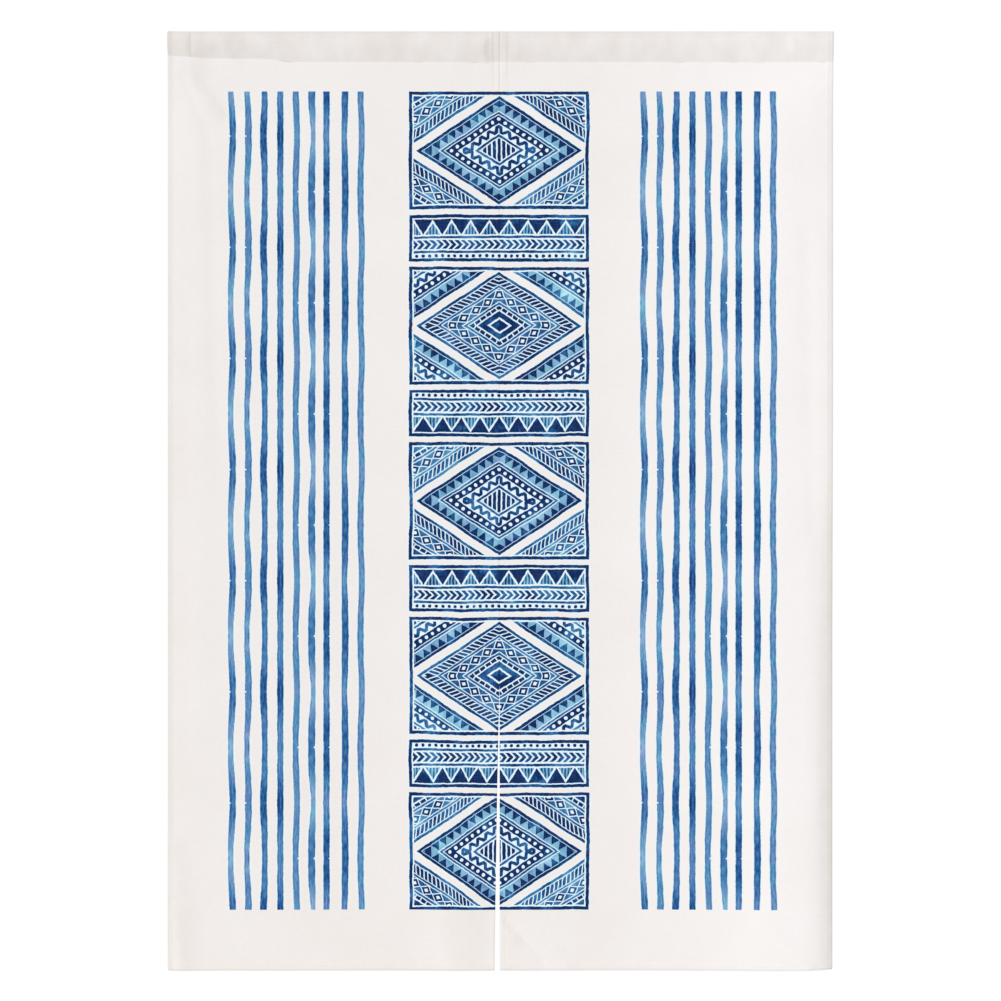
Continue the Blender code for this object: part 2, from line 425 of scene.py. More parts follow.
def keptMesh(piece):
    # The evaluated shape as a plain mesh, with the modifiers gone
    depsgraph = bpy.context.evaluated_depsgraph_get()
    made = bpy.data.meshes.new_from_object(piece.evaluated_get(depsgraph))
    made.name = piece.name
    piece.modifiers.clear()
    piece.data = made
    return piece


def clothPiece(name, grid, flats, face, reverse):
    # A mesh of the grid, given its thickness, with the flat position as a UV map
    rowCount, columnCount = grid.shape[:2]
    point = np.arange(rowCount * columnCount).reshape(rowCount, columnCount)
    quads = np.stack([point[:-1, :-1], point[:-1, 1:], point[1:, 1:], point[1:, :-1]], axis=2).reshape(-1, 4)
    mesh = bpy.data.meshes.new(name)
    mesh.from_pydata(grid.reshape(-1, 3).tolist(), [], quads.tolist())
    flatMap = mesh.uv_layers.new(name="flatCloth")
    flatMap.data.foreach_set("uv", flats.reshape(-1, 2)[quads.ravel()].ravel())
    mesh.materials.append(face)
    mesh.materials.append(reverse)
    mesh.shade_smooth()
    piece = placed(name, mesh)
    shell = piece.modifiers.new("thickness", "SOLIDIFY")
    shell.thickness = cloth["thickness"]
    shell.offset = 0.0
    shell.material_offset = 1
    return keptMesh(piece)


def addBakeMap(piece, flatSize):
    # A second UV map: the face in two strips side by side, the reverse lying across above them
    mesh = piece.data
    flat = np.empty(len(mesh.loops) * 2)
    mesh.uv_layers["flatCloth"].data.foreach_get("uv", flat)
    flat = flat.reshape(-1, 2)
    low, high = flat.min(axis=0), flat.max(axis=0)
    sizes = np.array([face.loop_total for face in mesh.polygons])
    faceOf = np.repeat(np.arange(len(sizes)), sizes)
    points = np.empty(len(mesh.loops), dtype=np.int32)
    mesh.loops.foreach_get("vertex_index", points)
    # the narrow faces round the raw edge are laid just outside it
    inner = points >= len(mesh.vertices) // 2
    mixed = np.bincount(faceOf, inner) / sizes
    onRim = ((mixed > 0.0) & (mixed < 1.0))[faceOf] & inner
    for axis in (0, 1):
        outward = (flat[:, axis] >= high[axis] - 1e-6) * 1.0 - (flat[:, axis] <= low[axis] + 1e-6)
        flat[:, axis] += cloth["thickness"] * outward * onRim
    flat = flat - low
    width, length = flatSize
    slots = np.array([face.material_index for face in mesh.polygons])[faceOf]
    middle = (np.bincount(faceOf, flat[:, 1]) / sizes)[faceOf]
    margin = 0.006
    scale = (1.0 - 3.0 * margin) / (2.0 * width)
    second = middle > length / 2
    place = np.empty_like(flat)
    place[:, 0] = margin + flat[:, 0] * scale + second * (width * scale + margin)
    place[:, 1] = margin + (flat[:, 1] - second * length / 2) * scale
    reverse = slots == 1
    base = 3.0 * margin + length / 2 * scale
    place[reverse, 0] = margin + flat[reverse, 1] * (1.0 - 2.0 * margin) / length
    place[reverse, 1] = base + flat[reverse, 0] * (1.0 - margin - base) / width
    bakeMap = mesh.uv_layers.new(name="OFBake")
    bakeMap.data.foreach_set("uv", place.ravel())
    mesh.uv_layers["flatCloth"].active_render = True


def mathsOf(operation):
    return lambda wire, other: wire.maths(operation, other)


class Wire:
    # One shader socket, so that sums on it read as plain arithmetic
    def __init__(self, tree, socket=None):
        self.tree = tree
        self.socket = socket

    def node(self, kind, settings, inputs, output=0):
        made = self.tree.nodes.new(kind)
        for name, value in settings.items():
            if name == "stops":
                fillRamp(made.color_ramp, value)
            else:
                setattr(made, name, value)
        for name, value in inputs.items():
            if isinstance(value, Wire):
                self.tree.links.new(value.socket, made.inputs[name])
            else:
                made.inputs[name].default_value = value
        return Wire(self.tree, made.outputs[output] if made.outputs else None)

    def maths(self, operation, *others, clamp=False):
        inputs = dict(enumerate((self, *others)))
        return self.node("ShaderNodeMath", {"operation": operation, "use_clamp": clamp}, inputs)

    def __rsub__(self, other):
        return self.maths("MULTIPLY_ADD", -1.0, other)

    def __abs__(self):
        return self.maths("ABSOLUTE")

    __add__ = __radd__ = mathsOf("ADD")
    __sub__ = mathsOf("SUBTRACT")
    __mul__ = __rmul__ = mathsOf("MULTIPLY")
    __truediv__ = mathsOf("DIVIDE")
    most = mathsOf("MAXIMUM")
    least = mathsOf("MINIMUM")
    wave = mathsOf("PINGPONG")  # from 0 to the other value and back, over and over

    def scaled(self, factor, added, clamp=False):
        return self.maths("MULTIPLY_ADD", factor, added, clamp=clamp)

    def clamped(self):
        return self.maths("MAXIMUM", 0.0, clamp=True)

    def above(self, limit, edge=0.5, height=1.0):
        # Rises from 0 below a limit to a height above it, with a soft edge
        risen = self.scaled(1.0 / edge, 0.5 - limit / edge, clamp=True)
        return risen if height == 1.0 else risen * height

    def below(self, limit, edge=0.5, height=1.0):
        return self.above(limit, -edge, height)

    def band(self, middle, half, edge=0.5):
        # 1 within half of the middle
        return abs(self - middle).below(half, edge)

    def vector(self, operation, *others):
        inputs = dict(enumerate((self, *others)))
        return self.node("ShaderNodeVectorMath", {"operation": operation}, inputs)

    def parts(self):
        split = self.node("ShaderNodeSeparateXYZ", {}, {0: self}).socket.node
        return Wire(self.tree, split.outputs[0]), Wire(self.tree, split.outputs[1])

    def mottle(self, across, down, detail, output=0):
        # Soft noise from 0 to 1, with so many waves in a millimetre across and down
        inputs = {"Vector": self.vector("MULTIPLY", (across, down, 1.0)), "Scale": 1.0, "Detail": detail}
        return self.node("ShaderNodeTexNoise", {"noise_dimensions": "2D"}, inputs, output)

    def spread(self, span, middle):
        # Noise spread over a span about a middle
        return self.scaled(span, middle - 0.5 * span)

    def wash(self, across, down, detail, span, middle):
        return self.mottle(across, down, detail).spread(span, middle)

    def tint(self, share, first, second):
        # A colour between two, by share
        return self.node("ShaderNodeMix", {"data_type": "RGBA"}, {0: share, 6: first, 7: second}, 2)


def fillRamp(ramp, stops):
    while len(ramp.elements) < len(stops):
        ramp.elements.new(0.5)
    for element, (position, colour) in zip(ramp.elements, stops):
        element.position = position
        element.color = colour


def screenColour(red, green, blue):
    # A colour given from 0 to 255 as seen on a screen, in linear light
    def linear(value):
        value /= 255.0
        return value / 12.92 if value <= 0.04045 else ((value + 0.055) / 1.055) ** 2.4
    return (linear(red), linear(green), linear(blue), 1.0)


# The print, in millimetres of flat cloth
pattern = {
    "top": 76.9,
    "bottom": 1122.4,
    # how far the column's hand-made lines stray, and the waves in a millimetre
    "strays": ((1.7, 0.020), (0.6, 0.18)),
    "stripesFrom": 150.0,
    "firstStripe": -343.5,
    "groupShift": 526.6,
    "stripePitch": 20.7,
    # the drawing of the stripes is mirrored at joints half a repeat apart
    "stripeRepeat": 142.0,
    "stripeJoint": 57.0,
    "stripeSway": 1.8,
    "stripeSwell": 1.4,
    # each stripe strays by itself: waves from one to the next and in a millimetre down, detail
    "stripeWaves": (17.3, 0.032, 1.0),
    "stripePinch": 0.15,
    "stripeEdge": 1.2,
    "stripeRim": 0.22,
    "stripeBloom": 1.5,
    "bloomEdge": 1.4,
    "biteSize": 1.8,
    "biteFlat": 1.2,
    # washes of noise: waves in a millimetre across and down, detail, span, middle
    "stripeRagged": (0.30, 0.30, 2.0, 1.0, 0.0),
    "stripePools": (0.060, 0.0216, 1.0, 0.60, 0.51),
    "stripeStreaks": (0.60, 0.096, 2.0, 1.00, 0.50),
    "columnPools": (0.040, 0.040, 1.0, 1.30, 0.75),
    "columnStreaks": (0.30, 0.21, 3.0, 0.70, 0.35),
    "hues": (0.032, 0.032, 2.0, 2.00, 0.40),
    # the painted fields of the column: how teal, and how strong, the light and the dark ones are
    "fieldHues": (0.70, 0.40),
    "fieldTones": (0.86, 1.08),
    # side stripes: distance from the first, width, tone, how far each one swings to the right,
    # swells and darkens towards its first joint, and the side and joint of a small bite
    "stripes": (
        (0.0, 7.8, 0.44, 1.2, 0.3, 0.13, -1, 0),
        (20.6, 7.4, 0.44, 0.9, 0.3, 0.03, -1, 0),
        (41.5, 8.0, 0.56, -0.6, 0.3, 0.12, 0, 0),
        (62.2, 8.1, 0.60, 0.1, 0.0, 0.16, 0, 0),
        (82.5, 7.5, 0.43, 0.8, -0.1, -0.05, 1, 1),
        (103.1, 7.8, 0.44, 1.2, -0.5, -0.13, 1, 1),
        (121.1, 8.1, 0.57, -0.1, 0.0, -0.15, 1, 1),
        (144.6, 8.0, 0.58, -0.5, -0.3, -0.07, 0, 0),
        (165.1, 7.4, 0.45, 0.9, -0.1, -0.03, 0, 0),
    ),
    # centre column: lozenge blocks, with a banded strip between each two
    "columnMiddle": -1.7,
    "columnHalf": 115.0,
    "blockHalf": 75.0,
    "stripTall": 60.0,
    "spacing": 7.0,
    "clearBand": 4.8,
    "frameLine": 2.0,
    "frameTones": (0.88, 0.92),
    "inset": 6.0,
    "columnBloom": (-1.5, 2.2),
    "barPitch": 2.1,
    "hatchLean": 0.8,
    "overlap": 0.4,
    "ring": (0.60, 0.22, 0.08),
    "ringGap": (1.06, 0.10),
    # rows of motifs, from a field's edge inwards: sort, middle, half height, half pitch, stroke, tone
    "firstRows": (
        ("plain", 1.8, 1.8, 0, 0, 0.88),
        ("plain", 10.0, 5.4, 0, 0, 0.27),
        ("teeth", 9.6, 5.2, 5.8, 0, 0.86),
        ("plain", 17.8, 1.2, 0, 0, 0.60),
        ("pierced", 24.6, 4.4, 4.4, 2.3, 0.98),
        ("zigzag", 35.0, 4.2, 6.6, 2.0, 0.76),
        ("plain", 42.6, 1.4, 0, 0, 0.64),
        ("bars", 60.0, 14.4, 3.0, 2.0, 0.94),
    ),
    "secondRows": (
        ("plain", 1.7, 1.7, 0, 0, 0.70),
        ("hatch", 9.2, 4.6, 3.1, 2.2, 0.86),
        ("plain", 16.0, 1.2, 0, 0, 0.58),
        ("rings", 25.0, 7.0, 8.4, 0, 0.96),
        ("gaps", 25.0, 7.0, 8.4, 0, 0.60),
        ("plain", 34.2, 1.3, 0, 0, 0.58),
        ("dashes", 38.8, 2.0, 4.6, 3.4, 0.98),
        ("plain", 46.0, 3.2, 0, 0, 0.70),
        ("plain", 60.0, 8.4, 0, 0, 0.86),
    ),
    "stripRows": (
        ("teeth", 15.4, 9.6, 11.5, 0, 0.96),
        ("facing", 15.4, 9.6, 11.5, 1.2, 0.30),
        ("facingBars", 15.4, 9.6, 11.5, 1.2, 0.74),
        ("plain", 28.6, 1.5, 0, 0, 0.70),
        ("chevrons", 38.2, 5.8, 3.9, 2.5, 0.78),
        ("plain", 47.6, 1.5, 0, 0, 0.70),
        ("dots", 52.9, 0, 3.9, 2.1, 0.98),
    ),
    "inks": (
        (0.00, (231, 243, 251)),
        (0.13, (196, 221, 242)),
        (0.27, (148, 181, 212)),
        (0.42, (104, 145, 187)),
        (0.57, (70, 119, 171)),
        (0.72, (39, 92, 150)),
        (0.86, (16, 67, 123)),
        (1.00, (4, 39, 92)),
    ),
    "violet": (1.05, 0.97, 1.02),
    "teal": (0.80, 1.11, 1.04),
    "bloom": (231, 243, 251),
    "bloomShare": 0.88,
    "inkGain": 9.0,
}

# How the cloth and its ink look. Doubled cloth, on the hems and the sleeve, is painted a little darker as
# shade, for the light it lets through less
finish = {
    "ground": (250, 247, 248),
    # the darker tone that the random unevenness and the painted shade mix towards
    "groundShade": (224, 218, 212),
    # all over: waves in a millimetre across and down, detail, span, middle
    "patches": (0.010, 0.010, 3.0, 0.20, 0.37),
    # painted shade: darker towards the bottom
    "shadeDownwards": 0.00013,
    # painted light and shade: past a limit, over a soft edge, by so much. The outer hem's limit is its width
    # painted light: lighter towards the right
    "paintedLightRight": (230.0, 260.0, -0.26),
    # painted shade at the sleeve's top, where it rounds over
    "sleeveTopShade": (6.0, 8.0, 0.22),
    # painted shade on the doubled outer hems
    "outerHemShade": (1.2, 0.17),
    # painted shade in a thin line along the folded outer and bottom edges
    "edgeShadeLine": (1.5, 2.0, 0.22),
    "edgeLift": 1.0,
    # mottling of the painted shade on the sleeve and in the spots: waves and detail, then span and middle
    "shadeMottle": (0.036, 0.0252, 3.0),
    "sleeve": (0.60, 0.21),
    "spotMottle": (1.6, 1.0),
    # painted shade lines along the inner hems' folds and a sleeve crease: half width and soft edge, and how
    # far down the inner hems' lines fade
    "innerHemLineShade": (0.8, 2.0),
    "sleeveCreaseLineShade": (1.2, 2.4),
    "lineShadeFade": (61.5, 50.0),
    "lineShade": 0.50,
    # painted shade in creases and along the side edges, and painted light beside the slit's crease: x, depth,
    # half width, half height, strength
    "shadeAndLightSpots": (
        (-382, 20, 24, 26, 0.22),
        (-333, 22, 26, 26, 0.16),
        (-16, 24, 7, 20, 0.34),
        (-384, 52, 15, 30, 0.15),
        (-400, 1150, 22, 62, 0.08),
        (-42, 1152, 42, 60, 0.10),
        (22, 1162, 9, 14, 0.12),
        (70, 1165, 55, 60, -0.10),
        (-414, 560, 22, 560, 0.09),
        (425, 960, 23, 420, 0.30),
        (426, 430, 12, 420, 0.14),
    ),
    "threadPitch": 0.62,
    # thicker threads: waves in a millimetre across and along each, and what they change
    "slubWaves": (1.3, 0.05),
    "slubShade": 0.20,
    "slubInk": -0.12,
    "slubRoughness": 0.12,
    "weaveRelief": (0.5, 0.6),  # of the weave and of its thicker threads
    "weaveStrength": 0.4,
    "weaveBump": 0.00010,
    "reversePrint": 0.26,
    "roughness": 0.82,
    "specular": 0.06,
    "sheen": 0.02,
    "sheenRoughness": 0.5,
}


def stripeInk(x, depth):
    # Nine uneven stripes a side, their drawing mirrored down the cloth again and again.
    # Returns their ink and the pale bloom around them
    shift = pattern["groupShift"]
    across = x + x.maths("LESS_THAN", 0.0) * shift - (pattern["firstStripe"] + shift)
    half = pattern["stripeRepeat"] / 2
    along = (depth - pattern["top"] - pattern["stripeJoint"]).wave(half)
    drawing = x.node("ShaderNodeCombineXYZ", {}, {0: across, 1: along})
    toJoint = (along * (math.pi / half)).maths("COSINE")
    ragged = drawing.wash(*pattern["stripeRagged"])
    ragged = ragged - (along * (2.0 * math.pi / half)).maths("COSINE") * pattern["stripePinch"]
    number = across.scaled(1.0 / pattern["stripePitch"], 0.5).maths("FLOOR")
    own = x.node("ShaderNodeCombineXYZ", {}, {0: number, 1: along})
    wander, bulge = own.mottle(*pattern["stripeWaves"], 1).parts()
    steady = across - wander.spread(pattern["stripeSway"], 0.0)
    reach = ragged + bulge.spread(pattern["stripeSwell"], 0.0)
    ink, bloom = None, None
    for middle, width, tone, swing, swell, flush, biteSide, biteJoint in pattern["stripes"]:
        offset = steady - toJoint.scaled(swing, middle)
        side = abs(offset)
        inset = toJoint.maths("MULTIPLY_ADD", swell, reach) - side
        cover = inset.above(-width / 2, pattern["stripeEdge"])
        skirt = inset.above(-width / 2 - pattern["stripeBloom"], pattern["bloomEdge"])
        if biteSide:
            fromJoint = along if biteJoint == 0 else half - along
            bite = abs(offset - biteSide * 0.5 * width) + fromJoint * pattern["biteFlat"]
            cover = cover * bite.above(pattern["biteSize"], pattern["stripeEdge"])
        stripe = cover * (side.scaled(pattern["stripeRim"] / width, tone) + toJoint * flush)
        ink = stripe if ink is None else ink.most(stripe)
        bloom = skirt if bloom is None else bloom.most(skirt)
    lights = drawing.wash(*pattern["stripePools"]) + drawing.wash(*pattern["stripeStreaks"])
    beside = abs(x).above(pattern["stripesFrom"])
    return ink * lights * beside, bloom * beside


# A row of motifs as a point sees it: how far in, along and to the side the point is, and the sizes
Row = namedtuple("Row", "inward along side middle half pitch stroke")


def plain(row, overlap=0.0):
    return row.inward.band(row.middle, row.half + overlap)


def triangle(row):
    # How far across its triangle and down the row a point is, from 0 to 1, and the millimetres in
    # one unit of their sum
    across = row.along.wave(row.pitch) / row.pitch
    down = (row.inward - (row.middle - row.half)) / (2.0 * row.half)
    return across, down, 1.0 / math.hypot(0.5 / row.half, 1.0 / row.pitch)


def teeth(row):
    across, down, unit = triangle(row)
    return (across + down).below(1.0, 0.5 / unit) * row.inward.above(row.middle - row.half)


def facing(row):
    # The triangles between the teeth, a stroke clear of them
    across, down, unit = triangle(row)
    return (across + down).above(1.0 + 2.0 * row.stroke / unit, 0.5 / unit) * plain(row)


def facingBars(row):
    return facing(row) * row.along.wave(pattern["barPitch"]).below(row.stroke)


def zigzag(row):
    across, down, unit = triangle(row)
    return abs(across - down).below(row.stroke / unit, 0.5 / unit) * plain(row, pattern["overlap"])


def dots(row):
    down, side = row.inward - row.middle, row.along.wave(row.pitch)
    return (down * down + side * side).maths("SQRT").below(row.stroke)


def pierced(row):
    return plain(row) * (1.0 - dots(row))


def strokes(row, way):
    return way.wave(row.pitch).below(row.stroke) * plain(row)


def hatch(row):
    return strokes(row, row.along + row.inward * pattern["hatchLean"])


def dashes(row):
    return strokes(row, row.along)


def bars(row):
    return strokes(row, row.side)


def chevrons(row):
    return strokes(row, row.along + abs(row.inward - row.middle))


def lozenge(row):
    # How far out from its lozenge's middle a point is, 1 at the edge
    return abs(row.inward - row.middle) / row.half + row.along.wave(row.pitch) / row.pitch


def rings(row):
    return lozenge(row).band(*pattern["ring"])


def gaps(row):
    # The small triangles on both sides of the rings
    return lozenge(row).above(*pattern["ringGap"]) * plain(row, -pattern["overlap"])


motifs = {motif.__name__: motif for motif in (
    plain, teeth, facing, facingBars, zigzag, dots, pierced, hatch, dashes, bars, chevrons, rings, gaps)}


def filling(spot, rows, lengthOf, parity):
    # Each row's pitch is fitted to its length, so that the motifs close neatly at the corners
    ink = None
    for sort, middle, half, pitch, stroke, tone in rows:
        inward, along, side = spot
        if pitch and sort != "bars":
            length, start = lengthOf(middle)
            pitch = length / (2 * max(round((length / pitch - parity) / 2.0), 1) + parity)
            along = along - start
        mark = motifs[sort](Row(inward, along, side, middle, half, pitch, stroke)) * tone
        ink = mark if ink is None else ink.most(mark)
    return ink


def columnInk(x, depth):
    # The centre column: lozenge blocks and banded strips in turn, every other pair changed over.
    # Returns the ink, which fields are painted in the darker blue, and the bloom around strokes
    half, tall, strip = pattern["columnHalf"], pattern["blockHalf"], pattern["stripTall"]
    line, bloomEdge = pattern["frameLine"], pattern["columnBloom"]
    light, strong = pattern["fieldTones"]
    blockTone, stripTone = pattern["frameTones"]
    period = 2.0 * tall + strip + 2.0 * pattern["spacing"]
    fromTop = depth - pattern["top"]
    count = (fromTop / period).maths("FLOOR")
    local = fromTop - count * period
    odd = count.wave(1.0)
    across = abs(x)

    upright = abs(local - tall)
    reach = 1.0 / math.hypot(1.0 / half, 1.0 / tall)
    inside = reach - across * (reach / half) - upright * (reach / tall)
    along = across * (reach / tall) - upright * (reach / half)
    inward = abs(inside) - pattern["clearBand"]
    spot = (inward, along, across)
    isInside = inside.maths("GREATER_THAN", 0.0)
    swap = abs(isInside - odd)

    def sideLength(middle):
        # Length of a row along one side of the lozenge, and its start in the acute corner
        left = max(reach - middle - pattern["clearBand"], 1.0)
        return math.hypot(half, tall) * left / reach, left * half / tall

    block = filling(spot, pattern["firstRows"], sideLength, 0) * swap
    block = block.most(filling(spot, pattern["secondRows"], sideLength, 0) * (1.0 - swap))
    border = (half - across).least(tall - upright)
    block = block * inward.above(0.0) * border.above(pattern["inset"])
    quarter = abs(x.maths("GREATER_THAN", 0.0) - local.maths("GREATER_THAN", tall))
    dark = abs(quarter - odd).most(isInside)
    block = block * dark.scaled(strong - light, light)
    block = block.most(border.band(line, line) * blockTone)
    bloom = inward.above(*bloomEdge) * border.above(*bloomEdge)

    down = local - (2.0 * tall + pattern["spacing"])
    turned = down + odd * (strip - 2.0 * down)
    edge = (half - across).least(down.least(strip - down))
    level = (half - pattern["inset"], 0.0)
    banded = filling((turned, x, x), pattern["stripRows"], lambda middle: level, 1)
    banded = banded * (half - across).above(pattern["inset"])
    banded = banded.most(edge.band(line, line) * stripTone) * edge.above(0.0)
    return block.most(banded), dark, bloom.most(edge.above(*bloomEdge))


def groundShade(place, x, depth, slubs):
    # How dark the bare cloth is: uneven all over, with painted shade where it lies double, along its edges,
    # in its creases and towards the bottom, and painted light towards the right
    # random tone and thicker threads, with painted shade darker towards the bottom
    shade = place.wash(*finish["patches"]) + depth * finish["shadeDownwards"] + slubs * finish["slubShade"]
    # painted light towards the right
    shade = shade + x.above(*finish["paintedLightRight"])
    rightEdge, bottom, seam = (1000.0 * curtain[name] for name in ("right", "bottom", "seam"))
    onSleeve = depth.below(1000.0 * curtain["stitchLine"])
    # mottling of the painted shade in the sleeve's creases and in the spots
    shadeMottle = place.mottle(*finish["shadeMottle"])
    # painted shade and painted light spots at creases and along the side edges, mottled
    shadeSpotSum = None
    for middle, low, half, tall, strength in finish["shadeAndLightSpots"]:
        offX = x.scaled(1.0 / half, -middle / half)
        offDepth = depth.scaled(1.0 / tall, -low / tall)
        shadeSpot = (offX * offX + offDepth * offDepth).scaled(-1.0, 1.0, clamp=True) * strength
        shadeSpotSum = shadeSpot if shadeSpotSum is None else shadeSpotSum + shadeSpot
    shade = shade + shadeSpotSum * shadeMottle.spread(*finish["spotMottle"])
    # painted shade over the doubled sleeve, mottled as its creases, and darker at its rounded top
    shade = shade + onSleeve * (shadeMottle.spread(*finish["sleeve"]) + depth.below(*finish["sleeveTopShade"]))
    fromSide = rightEdge - abs(x)
    # painted shade on the doubled outer hems, and a thin painted shade line along the folded outer and bottom
    # edges
    shade = shade + fromSide.below(1000.0 * cloth["sideHem"], *finish["outerHemShade"])
    shade = shade + fromSide.least(bottom - finish["edgeLift"] - depth).below(*finish["edgeShadeLine"])
    # painted shade lines along the inner hems' folds, fading down, and along the sleeve's first crease
    innerEdge = abs(x - seam).band(1000.0 * cloth["innerHem"], *finish["innerHemLineShade"])
    sleeveEdge = x.band(1000.0 * cloth["sleeveCreases"][0][0], *finish["sleeveCreaseLineShade"])
    shadedLines = (innerEdge * depth.below(*finish["lineShadeFade"])).most(sleeveEdge * onSleeve)
    return (shade + shadedLines * finish["lineShade"]).clamped()


def emptyMaterial(name):
    # A material with nothing in it, and the wire that its nodes start from
    material = bpy.data.materials.new(name)
    material.use_nodes = True
    material.node_tree.nodes.clear()
    return material, Wire(material.node_tree)


def clothMaterial(name, printStrength):
    material, start = emptyMaterial(name)
    flat = start.node("ShaderNodeUVMap", {"uv_map": "flatCloth"}, {})
    place = flat.vector("MULTIPLY", (1000.0, 1000.0, 1000.0))

    # Hand-made unevenness bends the column a little
    bent = place
    for reach, waves in pattern["strays"]:
        stray = place.mottle(waves, waves, 1.0, 1).vector("SUBTRACT", (0.5, 0.5, 0.5))
        bent = stray.vector("MULTIPLY_ADD", (2.0 * reach,) * 3, bent)
    bentX, bentDepth = bent.parts()
    x, depth = place.parts()

    # Ink of the column and the stripes, with watercolour lights and darks
    column, dark, bloom = columnInk(bentX - pattern["columnMiddle"], bentDepth)
    stripes, besideStripes = stripeInk(x, depth)
    inColumn = abs(x).below(pattern["stripesFrom"])
    lights = place.wash(*pattern["columnPools"]) + place.wash(*pattern["columnStreaks"])
    ink = (column * inColumn * lights).most(stripes)
    printed = depth.above(pattern["top"]) * depth.below(pattern["bottom"])
    ink = ink * printed
    bloom = (bloom * inColumn).most(besideStripes) * printed
    stops = [(position, screenColour(*colour)) for position, colour in pattern["inks"]]
    blue = ink.node("ShaderNodeValToRGB", {"stops": stops}, {"Fac": ink})
    lightHue, darkHue = pattern["fieldHues"]
    hue = place.wash(*pattern["hues"]) + inColumn * dark.scaled(darkHue - lightHue, lightHue)
    violet = blue.vector("MULTIPLY", pattern["violet"])
    teal = blue.vector("MULTIPLY", pattern["teal"])
    blue = blue.tint(hue.clamped(), violet, teal)

    # Plain weave with thicker threads here and there
    turn = 2.0 * math.pi / finish["threadPitch"]
    weave = (x * turn).maths("SINE") * (depth * turn).maths("SINE")
    often, seldom = finish["slubWaves"]
    slubs = place.wash(often, seldom, 2.0, 1.0, 0.0) + place.wash(seldom, often, 2.0, 1.0, 0.0)
    shade = groundShade(place, x, depth, slubs)
    ground = place.tint(shade, screenColour(*finish["ground"]), screenColour(*finish["groundShade"]))
    bloom = bloom * (printStrength * pattern["bloomShare"])
    ground = ground.tint(bloom, ground, screenColour(*pattern["bloom"]))
    share = ink.scaled(pattern["inkGain"], 0.0, clamp=True) * slubs.scaled(finish["slubInk"], 1.0)
    share = share.maths("MULTIPLY", printStrength, clamp=True)
    colour = ground.tint(share, ground, blue)
    fine, coarse = finish["weaveRelief"]
    relief = {"Strength": finish["weaveStrength"], "Distance": finish["weaveBump"]}
    bump = start.node("ShaderNodeBump", {}, {**relief, "Height": weave * fine + slubs * coarse})
    surface = start.node("ShaderNodeBsdfPrincipled", {}, {
        "Base Color": colour,
        "Roughness": slubs.scaled(finish["slubRoughness"], finish["roughness"]),
        "Normal": bump,
        "Specular IOR Level": finish["specular"],
        "Sheen Weight": finish["sheen"],
        "Sheen Roughness": finish["sheenRoughness"],
    })
    start.node("ShaderNodeOutputMaterial", {}, {"Surface": surface})
    return material


# Sewing thread. The seam's joining stitches cross from one panel to the other on the back
thread = {
    "light": (244, 240, 234),
    "dark": (230, 225, 218),
    "patches": 60.0,
    "fibres": 5200.0,
    "fibreBump": 0.00005,
    "fibreStrength": 0.5,
    "roughness": (0.55, 0.85),
    "hem": {"Pitch": 0.0027, "Length": 0.0021, "Thickness": 0.00042, "Slant": 0.06, "Unevenness": 0.12},
    "join": {"Pitch": 0.0060, "Length": 0.0046, "Thickness": 0.00050, "Slant": 1.15, "Unevenness": 0.14},
    "tack": {"Pitch": 0.0007, "Length": 0.0042, "Thickness": 0.00050, "Slant": 1.55, "Unevenness": 0.08},
    "joinBack": 0.0016,
    "joinBelow": 0.0040,
    "tackLength": 0.0050,
    "runPoints": 160,
    "firstSeed": 40,
}


def threadMaterial():
    # Spun thread: off-white, a little uneven, with fine fibres
    material, start = emptyMaterial("sewingThread")
    spot = start.node("ShaderNodeTexCoord", {}, {}, 3)
    fibres = spot.node("ShaderNodeTexNoise", {}, {"Vector": spot, "Scale": thread["fibres"], "Detail": 2.0})
    patches = spot.node("ShaderNodeTexNoise", {}, {"Vector": spot, "Scale": thread["patches"], "Detail": 1.0})
    colour = patches.tint(patches, screenColour(*thread["light"]), screenColour(*thread["dark"]))
    relief = {"Strength": thread["fibreStrength"], "Distance": thread["fibreBump"]}
    bump = fibres.node("ShaderNodeBump", {}, {**relief, "Height": fibres})
    smoothest, roughest = thread["roughness"]
    roughness = fibres.scaled(roughest - smoothest, smoothest)
    varied = {"Base Color": colour, "Roughness": roughness, "Normal": bump}
    surface = start.node("ShaderNodeBsdfPrincipled", {}, varied)
    start.node("ShaderNodeOutputMaterial", {}, {"Surface": surface})
    return material


